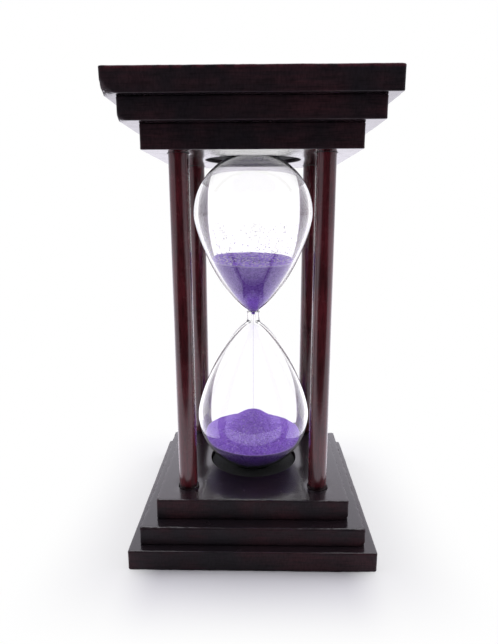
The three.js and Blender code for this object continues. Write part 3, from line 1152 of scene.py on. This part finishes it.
FRONT_LIGHT = 0.2  # what is left of the light from the front
FRONT_LIGHT_EDGE = (-0.5, 0.05)
THROUGH_GLASS = 1.15  # the backdrop through the glass, which takes the excess away again
THROUGH_SIDES = 0.85  # the same to the left, the right and the front
THROUGH_RISE = (0.50, 0.85)
PANEL_PLACE = Vector((0.0, 0.14, 0.62))
PANEL_WIDTH = 0.7
PANEL_HEIGHT = 0.6
PANEL_RADIANCE = 1.3  # as bright as this times white paper
CAMERA_PLACE = Vector((2.05, -182.6, 114.29)) * MM
CAMERA_ANGLES = (-1.14, -12.39, -0.16)  # yaw, pitch and roll, in degrees
CAMERA_LENS = 28.08  # mm, for a sensor 36 mm wide
CLIP_START = 5 * MM


def build_floor():
    """A pale floor that fades to white away from the base and its shadow."""
    corners = [(-1, -1), (1, -1), (1, 1), (-1, 1)]
    mesh = bpy.data.meshes.new("floor")
    mesh.from_pydata([(x * FLOOR_HALF, y * FLOOR_HALF, 0.0) for x, y in corners], [], [(0, 1, 2, 3)])
    floor = add_object("floor", mesh)
    material, tree, shader, place = new_material("floor_pale")
    feed(tree, shader, {"Base Color": FLOOR_COLOUR, "Roughness": 0.9, "Specular IOR Level": 0.1})
    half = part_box("base_outer_board")[1].x
    x, y, _ = axes_of(tree, place)
    sideways = unsigned(tree, x)
    ahead = spread(tree, unsigned(tree, y), half, half + SHADOW_REACH)
    # painted light: the floor's white glow covers the outer part of its shadow, and most of it beside the
    # base
    close = spread(tree, sideways, half - SIDE_START, half + SIDE_END, 0.0, SIDE_WHITE)
    further = spread(tree, sideways, half, half + SIDE_REACH, 0.0, 1 - SIDE_WHITE)
    beside = plus(tree, close, further)
    shadow = times(tree, minus(tree, 1.0, ahead), minus(tree, 1.0, beside))
    bowed = plus(tree, y, times(tree, times(tree, x, x), TABLE_BOW))
    table = spread(tree, bowed, -TABLE_EDGE - TABLE_FADE, -TABLE_EDGE)
    table = times(tree, table, spread(tree, y, *TABLE_FAR, *TABLE_GLOW))
    mirrored = glow_of(tree, "Emission", COOL_MIRROR, table)
    bent = glow_of(tree, "Emission", WHITE, THROUGH_GLASS)
    plain_white = glow_of(tree, "Emission", WHITE, 1.0)
    path = add(tree, "LightPath").outputs
    glossy = path["Is Glossy Ray"]
    transmitted = path["Is Transmission Ray"]
    white = blend_shaders(tree, glossy, plain_white, mirrored)
    white = blend_shaders(tree, transmitted, white, bent)
    seen = largest(tree, path["Is Camera Ray"], largest(tree, glossy, transmitted))
    fade = times(tree, minus(tree, 1.0, shadow), seen)
    surface = blend_shaders(tree, fade, shader.outputs[0], white)
    feed(tree, tree.nodes["Material Output"], {"Surface": surface})
    mesh.materials.append(material)


def build_world():
    """White where it is seen. As light it is brighter from the sides and dark from the front."""
    world = bpy.data.worlds.new("world")
    world.use_nodes = True
    scene.world = world
    tree = world.node_tree
    x, y, z = axes_of(tree, add(tree, "TexCoord").outputs["Generated"])
    sideways = unsigned(tree, x)
    side_light = spread(tree, sideways, *SIDE_LIGHT_RISE, WORLD_LIGHT, WORLD_LIGHT + SIDE_LIGHT)
    light = times(tree, side_light, spread(tree, y, *FRONT_LIGHT_EDGE, FRONT_LIGHT, 1.0))
    lighting = tree.nodes["Background"]
    feed(tree, lighting, {"Color": COOL, "Strength": light})
    in_room = plus(tree, y, times(tree, sideways, ROOM_SLANT))
    glow = spread(tree, z, *BACKDROP_RISE, *BACKDROP_GLOW)
    glow = times(tree, glow, spread(tree, in_room, *ROOM_EDGE, ROOM_GLOW, 1.0))
    mirrored = glow_of(tree, "Background", COOL_MIRROR, glow)
    through = spread(tree, y, *THROUGH_RISE, THROUGH_SIDES, THROUGH_GLASS)
    bent = glow_of(tree, "Background", WHITE, through)
    backdrop = glow_of(tree, "Background", WHITE, 1.0)
    path = add(tree, "LightPath").outputs
    surface = blend_shaders(tree, path["Is Glossy Ray"], lighting.outputs[0], mirrored)
    surface = blend_shaders(tree, path["Is Transmission Ray"], surface, bent)
    surface = blend_shaders(tree, path["Is Camera Ray"], surface, backdrop)
    feed(tree, tree.nodes["World Output"], {"Surface": surface})


def build_panel():
    """A soft rectangular light above and behind, turned to the base."""
    light = bpy.data.lights.new("panel_above", "AREA")
    light.shape = "RECTANGLE"
    light.size = PANEL_WIDTH
    light.size_y = PANEL_HEIGHT
    light.energy = PANEL_RADIANCE * math.pi * PANEL_WIDTH * PANEL_HEIGHT
    panel = add_object("panel_above", light)
    panel.location = PANEL_PLACE
    panel.rotation_euler = (-PANEL_PLACE).to_track_quat("-Z", "Y").to_euler()
    panel.visible_camera = False
    panel.visible_transmission = False


def build_camera():
    """The photograph's point of view, fitted to the corners of the boards."""
    yaw, pitch, roll = (math.radians(a) for a in CAMERA_ANGLES)
    ahead = Vector((math.sin(yaw) * math.cos(pitch), math.cos(yaw) * math.cos(pitch), math.sin(pitch)))
    level = Vector((math.cos(yaw), -math.sin(yaw), 0.0))
    upright = level.cross(ahead)
    right = level * math.cos(roll) + upright * math.sin(roll)
    up = right.cross(ahead)
    data = bpy.data.cameras.new("camera")
    data.lens = CAMERA_LENS
    data.clip_start = CLIP_START
    camera = add_object("camera", data)
    turn = Matrix((right, up, -ahead)).transposed().to_4x4()
    camera.matrix_world = Matrix.Translation(CAMERA_PLACE) @ turn
    scene.camera = camera


build_floor()
build_world()
build_panel()
build_camera()
scene.view_settings.view_transform = "Standard"
